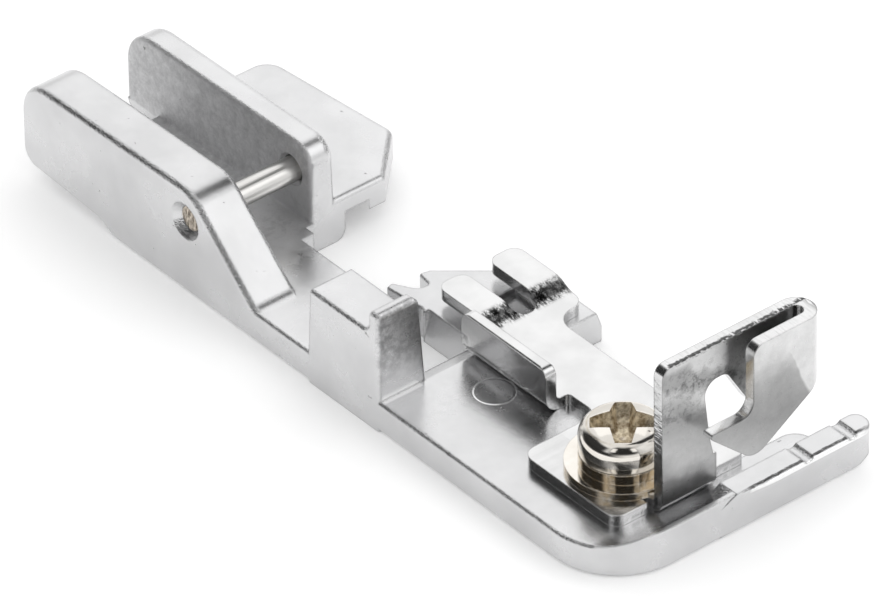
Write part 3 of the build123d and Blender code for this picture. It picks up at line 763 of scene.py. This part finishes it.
def thread_radius(height, turn, foot):
    """Radius of the threaded shank at a height and a turn, run out at both ends."""
    wave = abs(((height / THREAD_PITCH + turn / math.tau) % 1.0) * 2 - 1)
    cut = THREAD_DEPTH * min(1.0, wave * THREAD_STEEPNESS)
    cut *= min(1.0, max(0.0, (THREAD_TOP - height) / THREAD_RUN_OUT))
    return min(SHANK_RADIUS - cut, SHANK_RADIUS - THREAD_CHAMFER + (height - foot))


# %% [markdown]
# A mesh built by hand is a list of points and a list of faces. The screw is a stack of rings of
# points, closed into a skin with a fan of triangles at each end.


# %% Screw body
def mesh_object(name, points, faces):
    """Object from points in mm."""
    mesh = bpy.data.meshes.new(name)
    mesh.from_pydata([tuple(v * MM for v in point) for point in points], [], faces)
    mesh.validate()
    obj = bpy.data.objects.new(name, mesh)
    scene.collection.objects.link(obj)
    return obj


def turned_screw():
    profile, thread_start = screw_profile()
    foot = profile[-1][1]
    points = [(SCREW_MIDDLE.x, SCREW_MIDDLE.y, HEAD_TOP)]
    for row, (radius, height) in enumerate(profile[1:], start=1):
        for i in range(SCREW_SIDES):
            turn = math.tau * i / SCREW_SIDES
            r = radius if row < thread_start else thread_radius(height, turn, foot)
            x, y = SCREW_MIDDLE.x + r * math.cos(turn), SCREW_MIDDLE.y + r * math.sin(turn)
            points.append((x, y, HEAD_BOTTOM + height))
    points.append((SCREW_MIDDLE.x, SCREW_MIDDLE.y, HEAD_BOTTOM + foot))
    rings = len(profile) - 1
    last = 1 + (rings - 1) * SCREW_SIDES
    faces = []
    for i in range(SCREW_SIDES):
        after = (i + 1) % SCREW_SIDES
        faces.append((0, 1 + i, 1 + after))
        faces.append((len(points) - 1, last + after, last + i))
        for upper in range(1, last, SCREW_SIDES):
            lower = upper + SCREW_SIDES
            faces.append((upper + i, lower + i, lower + after, upper + after))
    return mesh_object("turned_screw", points, faces)


# %% [markdown]
# The recess is cut as the real one is, by pressing a tapered cross into the head. The dimple beside
# it is the mark of the header's punch. Both cutters are closed meshes, taken away by a Boolean.

# %% Cross recess
RECESS_TURN = 50
RECESS_LEVELS = (
    # height under the crown, reach of the arms, half their width at the tip, root corner
    (-0.3, 2.34, 0.56, 0.86),
    (0.0, 2.20, 0.54, 0.82),
    (0.55, 1.90, 0.47, 0.72),
    (1.10, 1.30, 0.38, 0.58),
    (1.45, 0.62, 0.30, 0.42),
)
RECESS_TIP = 0.18
DIMPLE_TURN = -72
DIMPLE_REACH = 2.0
DIMPLE_RADIUS = 0.36
DIMPLE_RISE = 0.02
DIMPLE_ROWS = 12
DIMPLE_SIDES = 24
POLE = 0.001
SHARP_ANGLE = 32


def recess_cutter():
    """Tapered cross, level by level, ending in a blunt point."""
    points = []
    for depth, reach, half, root in RECESS_LEVELS:
        for quarter in range(4):
            a = math.radians(RECESS_TURN + 90 * quarter)
            for x, y in ((reach, -half), (reach, half), (root, root)):
                px = SCREW_MIDDLE.x + x * math.cos(a) - y * math.sin(a)
                py = SCREW_MIDDLE.y + x * math.sin(a) + y * math.cos(a)
                points.append((px, py, HEAD_TOP - depth))
    sides = len(points) // len(RECESS_LEVELS)
    floor = len(points) - sides
    points.append((SCREW_MIDDLE.x, SCREW_MIDDLE.y, HEAD_TOP - RECESS_LEVELS[-1][0] - RECESS_TIP))
    faces = [tuple(range(sides))]
    for upper in range(0, floor, sides):
        lower = upper + sides
        for i in range(sides):
            after = (i + 1) % sides
            faces.append((upper + after, upper + i, lower + i, lower + after))
    for i in range(sides):
        faces.append((floor + (i + 1) % sides, floor + i, len(points) - 1))
    return mesh_object("recess_cutter", points, faces)


def dimple_cutter():
    """Small ball whose poles are left open by a hair and closed with flat faces."""
    a = math.radians(DIMPLE_TURN)
    x = SCREW_MIDDLE.x + DIMPLE_REACH * math.cos(a)
    y = SCREW_MIDDLE.y + DIMPLE_REACH * math.sin(a)
    z = HEAD_TOP + DIMPLE_RISE
    points = []
    for i in range(DIMPLE_ROWS + 1):
        t = math.pi * (i + POLE) / (DIMPLE_ROWS + 2 * POLE)
        ring = DIMPLE_RADIUS * math.sin(t)
        for j in range(DIMPLE_SIDES):
            u = math.tau * j / DIMPLE_SIDES
            height = z + DIMPLE_RADIUS * math.cos(t)
            points.append((x + ring * math.cos(u), y + ring * math.sin(u), height))
    last = DIMPLE_ROWS * DIMPLE_SIDES
    faces = []
    for upper in range(0, last, DIMPLE_SIDES):
        lower = upper + DIMPLE_SIDES
        for j in range(DIMPLE_SIDES):
            after = (j + 1) % DIMPLE_SIDES
            faces.append((upper + j, lower + j, lower + after, upper + after))
    faces.append(tuple(range(DIMPLE_SIDES)))
    faces.append(tuple(reversed(range(last, len(points)))))
    return mesh_object("dimple_cutter", points, faces)


# %% [markdown]
# A modifier's result becomes the object's own mesh, so that what is exported is plain geometry.


# %% Making the screw
def settle(obj):
    """Turns an object's modifiers into its own mesh."""
    bpy.context.view_layer.update()
    depsgraph = bpy.context.evaluated_depsgraph_get()
    shape = bpy.data.meshes.new_from_object(obj.evaluated_get(depsgraph))
    obj.modifiers.clear()
    obj.data = shape


def carve(body, cutters):
    """Cuts the cutters out of a body, and leaves one plain mesh."""
    for cutter in cutters:
        step = body.modifiers.new("cut", "BOOLEAN")
        step.operation = "DIFFERENCE"
        step.solver = "EXACT"
        step.object = cutter
    settle(body)
    for cutter in cutters:
        bpy.data.objects.remove(cutter)
    body.data.shade_smooth()
    body.data.set_sharp_from_angle(angle=math.radians(SHARP_ANGLE))


screw = turned_screw()
carve(screw, [recess_cutter(), dimple_cutter()])
dress(screw, nickel_finish)
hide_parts("clamp_screw")
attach(screw, "screw")
print("screw faces:", len(screw.data.polygons))

# %% [markdown]
# The shear that cut the hook's top left a row of tiny burrs along the edge of the sheet. They are
# one small wedge repeated along a straight path, with its size and turn varied. Geometry Nodes suit
# that: change the count or the seed, and the whole row is made again.

# %% Burr sizes
BURR_PATH = ((-3.9, -26.27, 13.02), (5.4, -26.27, 13.02))
BURR_COUNT = 96
BURR_CORNERS = 4
BURR_RADIUS = 0.05
BURR_LENGTH = 0.16
BURR_SEED = 7
BURR_SCALES = ((0.3, 0.3, 0.2), (1.0, 0.8, 1.0))
BURR_TURNS = ((1.35, -0.5, -0.9), (1.80, 0.5, 0.9))
BURR_INPUTS = (
    ("Start", "NodeSocketVector"),
    ("End", "NodeSocketVector"),
    ("Count", "NodeSocketInt"),
    ("Radius", "NodeSocketFloat"),
    ("Length", "NodeSocketFloat"),
    ("Seed", "NodeSocketInt"),
    ("Finish", "NodeSocketMaterial"),
)


# %% Burr tree
def burr_tree():
    """Node tree that repeats one wedge along a line and ends as plain faces."""
    tree = bpy.data.node_groups.new("burrs_along_edge", "GeometryNodeTree")
    for name, kind in BURR_INPUTS:
        tree.interface.new_socket(name, in_out="INPUT", socket_type=kind)
    tree.interface.new_socket("Burrs", in_out="OUTPUT", socket_type="NodeSocketGeometry")
    add, join = tree.nodes.new, tree.links.new
    given = add("NodeGroupInput").outputs

    line = add("GeometryNodeCurvePrimitiveLine")
    join(given["Start"], line.inputs["Start"])
    join(given["End"], line.inputs["End"])
    places = add("GeometryNodeCurveToPoints")
    join(line.outputs["Curve"], places.inputs["Curve"])
    join(given["Count"], places.inputs["Count"])

    wedge = add("GeometryNodeMeshCone")
    wedge.inputs["Vertices"].default_value = BURR_CORNERS
    wedge.inputs["Radius Top"].default_value = 0.0
    join(given["Radius"], wedge.inputs["Radius Bottom"])
    join(given["Length"], wedge.inputs["Depth"])

    spread = add("GeometryNodeInstanceOnPoints")
    join(places.outputs["Points"], spread.inputs["Points"])
    join(wedge.outputs["Mesh"], spread.inputs["Instance"])
    for name, (low, high) in (("Rotation", BURR_TURNS), ("Scale", BURR_SCALES)):
        chance = add("FunctionNodeRandomValue")
        chance.data_type = "FLOAT_VECTOR"
        chance.inputs["Min"].default_value = low
        chance.inputs["Max"].default_value = high
        join(given["Seed"], chance.inputs["Seed"])
        join(chance.outputs["Value"], spread.inputs[name])

    plain = add("GeometryNodeRealizeInstances")
    join(spread.outputs["Instances"], plain.inputs["Geometry"])
    finish = add("GeometryNodeSetMaterial")
    join(plain.outputs["Geometry"], finish.inputs["Geometry"])
    join(given["Finish"], finish.inputs["Material"])
    join(finish.outputs["Geometry"], add("NodeGroupOutput").inputs["Burrs"])
    return tree


# %% Burrs on the hook's top edge
def shear_burrs():
    """The row as one piece, with the tree's inputs in metres."""
    burrs = mesh_object("shear_burrs", [], [])
    tree = burr_tree()
    step = burrs.modifiers.new("burrs", "NODES")
    step.node_group = tree
    values = {
        "Start": [v * MM for v in BURR_PATH[0]],
        "End": [v * MM for v in BURR_PATH[1]],
        "Count": BURR_COUNT,
        "Radius": BURR_RADIUS * MM,
        "Length": BURR_LENGTH * MM,
        "Seed": BURR_SEED,
        "Finish": sheet_finish,
    }
    for item in tree.interface.items_tree:
        if item.in_out == "INPUT":
            step[item.identifier] = values[item.name]
    settle(burrs)
    dress(burrs, sheet_finish)
    return burrs


burrs = shear_burrs()
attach(burrs, "guide")
print("burr faces:", len(burrs.data.polygons))

# %% [markdown]
# Plated metal has no colour of its own to show: what the eye reads as metal is the room in it. So
# the light is made the way a product photographer makes it. The foot lies on a white table under a
# white surround, two panels light its top faces, and dark flags stand round the set. The flags are
# seen only in reflections, and they draw the dark lines along every rounded edge.

# %% Table
TABLE_HALF = 1.2
TABLE_GAP = 0.01 * MM
TABLE_WHITE = (0.96, 0.96, 0.96, 1.0)
TABLE_ROUGHNESS = 0.9
TABLE_GLOW = 0.16


def table_material():
    """Matt white that glows a little, so that the table stays as pale as the surround."""
    material = bpy.data.materials.new("white_table")
    material.use_nodes = True
    inputs = material.node_tree.nodes["Principled BSDF"].inputs
    inputs["Base Color"].default_value = TABLE_WHITE
    inputs["Roughness"].default_value = TABLE_ROUGHNESS
    inputs["Emission Color"].default_value = (1, 1, 1, 1)
    inputs["Emission Strength"].default_value = TABLE_GLOW
    inputs["Specular IOR Level"].default_value = 0.0
    return material


def table():
    mesh = bpy.data.meshes.new("table")
    corners = ((-1, -1), (1, -1), (1, 1), (-1, 1))
    mesh.from_pydata([(x * TABLE_HALF, y * TABLE_HALF, 0) for x, y in corners], [], [(0, 1, 2, 3)])
    obj = bpy.data.objects.new("table", mesh)
    scene.collection.objects.link(obj)
    obj.location.z = cad_low.z - TABLE_GAP
    dress(obj, table_material())


table()
print("table", 2 * TABLE_HALF, "m wide")

# %% [markdown]
# The surround is one even white, held a little below full so that nothing clips.

# %% Surround
SURROUND_STRENGTH = 0.95

world = bpy.data.worlds.new("surround")
scene.world = world
world.use_nodes = True
background = world.node_tree.nodes["Background"]
background.inputs["Color"].default_value = (1, 1, 1, 1)
background.inputs["Strength"].default_value = SURROUND_STRENGTH
print("surround at", SURROUND_STRENGTH)

# %% [markdown]
# A flag is a patch of a sphere round the set. Its own UV map says how far a point lies from its
# border, so its edge can fade from solid to clear, and the reflections of it have soft ends.

# %% Flags
FLAG_STEPS = 24
FLAG_RADIUS = 0.9
STRIP_RADIUS = 0.8
STRIP_GLOW = 1.1


def direction(azimuth, elevation):
    """Unit vector from angles in degrees; azimuth 0 is +Y, 90 is +X."""
    a, e = math.radians(azimuth), math.radians(elevation)
    return Vector((math.sin(a) * math.cos(e), math.cos(a) * math.cos(e), math.sin(e)))


def flag_material(name, shade, fade):
    """Plain glow of one shade that fades to clear over a share of the patch at each border."""
    material = bpy.data.materials.new(name)
    material.use_nodes = True
    nodes, join = material.node_tree.nodes, material.node_tree.links.new
    nodes.clear()
    coords = nodes.new("ShaderNodeTexCoord")
    split = nodes.new("ShaderNodeSeparateXYZ")
    join(coords.outputs["UV"], split.inputs["Vector"])
    both = nodes.new("ShaderNodeMath")
    both.operation = "MULTIPLY"
    for axis, factor in zip("XY", both.inputs):
        mirror = nodes.new("ShaderNodeMath")
        mirror.operation = "PINGPONG"
        mirror.inputs[1].default_value = 0.5
        join(split.outputs[axis], mirror.inputs[0])
        spread = nodes.new("ShaderNodeMapRange")
        spread.interpolation_type = "SMOOTHSTEP"
        spread.inputs["From Max"].default_value = fade
        join(mirror.outputs["Value"], spread.inputs["Value"])
        join(spread.outputs["Result"], factor)
    clear = nodes.new("ShaderNodeBsdfTransparent")
    glow = nodes.new("ShaderNodeEmission")
    glow.inputs["Color"].default_value = (shade, shade, shade, 1)
    mix = nodes.new("ShaderNodeMixShader")
    join(both.outputs["Value"], mix.inputs["Fac"])
    join(clear.outputs["BSDF"], mix.inputs[1])
    join(glow.outputs["Emission"], mix.inputs[2])
    join(mix.outputs["Shader"], nodes.new("ShaderNodeOutputMaterial").inputs["Surface"])
    return material


def flag(name, azimuths, elevations, shade, fade, radius=FLAG_RADIUS):
    """Grey patch between two azimuths and two elevations, seen only in reflections."""
    mesh = bpy.data.meshes.new(name)
    places, spreads = [], []
    for i in range(FLAG_STEPS + 1):
        for j in range(FLAG_STEPS + 1):
            u, v = i / FLAG_STEPS, j / FLAG_STEPS
            azimuth = azimuths[0] + u * (azimuths[1] - azimuths[0])
            elevation = elevations[0] + v * (elevations[1] - elevations[0])
            places.append(direction(azimuth, elevation) * radius)
            spreads.append((u, v))
    width = FLAG_STEPS + 1
    faces = []
    for i in range(FLAG_STEPS):
        for j in range(FLAG_STEPS):
            first = i * width + j
            faces.append((first, first + 1, first + width + 1, first + width))
    mesh.from_pydata(places, [], faces)
    layer = mesh.uv_layers.new(name="spread")
    for loop in mesh.loops:
        layer.data[loop.index].uv = spreads[loop.vertex_index]
    obj = bpy.data.objects.new(name, mesh)
    scene.collection.objects.link(obj)
    obj.visible_camera = False
    obj.visible_diffuse = False
    obj.visible_shadow = False
    dress(obj, flag_material(name, shade, fade))


flag("horizon_flag", (-150, 5), (-4, 30), 0.03, fade=0.3)
flag("right_flag", (62, 150), (-5, 27), 0.05, fade=0.2)
flag("left_flag", (-104, 2), (2, 64), 0.04, fade=0.2)
flag("camera_flag", (168, 268), (12, 84), 0.03, fade=0.25)
flag("left_strip", (176, 196), (34, 66), STRIP_GLOW, fade=0.25, radius=STRIP_RADIUS)
flag("right_strip", (238, 256), (34, 66), STRIP_GLOW, fade=0.25, radius=STRIP_RADIUS)
flag("gap_flag", (80, 128), (42, 86), 0.04, fade=0.12)
print("five flags and two strips")

# %% [markdown]
# The panels are square lamps, one behind the foot and one at its front, which lift the top faces.


# %% Panels
def panel(name, azimuth, elevation, distance, size, radiance):
    """Square lamp facing the foot. Its power follows from how bright its face should look."""
    light = bpy.data.lights.new(name, "AREA")
    light.shape = "SQUARE"
    light.size = size
    light.energy = radiance * math.pi * size * size
    obj = bpy.data.objects.new(name, light)
    scene.collection.objects.link(obj)
    obj.location = direction(azimuth, elevation) * distance
    obj.rotation_mode = "QUATERNION"
    obj.rotation_quaternion = (-obj.location).to_track_quat("-Z", "Y")


panel("rear_panel", 39, 42, distance=0.7, size=0.55, radiance=0.3)
panel("front_panel", 141, 38, distance=0.7, size=0.5, radiance=0.5)
print("two panels")

# %% [markdown]
# The camera's place and turn come from the foot's own straight edges in the photo. It stands far
# off with a long lens, which is why the foot shows almost no perspective.

# %% Camera
CAMERA_PLACE = Vector((-369.69, -456.85, 440.71)) * MM
CAMERA_AZIMUTH = math.radians(-39.01)
CAMERA_ELEVATION = math.radians(36.79)
CAMERA_ROLL = math.radians(-0.92)
FOCAL_PIXELS = 12000.0
PHOTO_WIDTH = 894.0
SENSOR_WIDTH = 36.0
CLIP = (0.05, 10.0)


def camera():
    data = bpy.data.cameras.new("camera")
    obj = bpy.data.objects.new("camera", data)
    scene.collection.objects.link(obj)
    scene.camera = obj
    data.sensor_width = SENSOR_WIDTH
    data.lens = FOCAL_PIXELS / PHOTO_WIDTH * SENSOR_WIDTH
    data.clip_start, data.clip_end = CLIP
    a, e = CAMERA_AZIMUTH, CAMERA_ELEVATION
    back = Vector((math.sin(a) * math.cos(e), -math.cos(a) * math.cos(e), math.sin(e)))
    right = Vector((math.cos(a), math.sin(a), 0.0))
    up = back.cross(right)
    turned_right = math.cos(CAMERA_ROLL) * right + math.sin(CAMERA_ROLL) * up
    turned_up = math.cos(CAMERA_ROLL) * up - math.sin(CAMERA_ROLL) * right
    turn = Matrix((turned_right, turned_up, back)).transposed()
    obj.matrix_world = Matrix.Translation(CAMERA_PLACE) @ turn.to_4x4()
    print("lens of", round(data.lens, 1), "mm")


camera()

# %% [markdown]
# The Standard view shows the light as it falls, with no film curve over it.

# %% View
scene.view_settings.view_transform = "Standard"
print("view transform:", scene.view_settings.view_transform)

# %% [markdown]
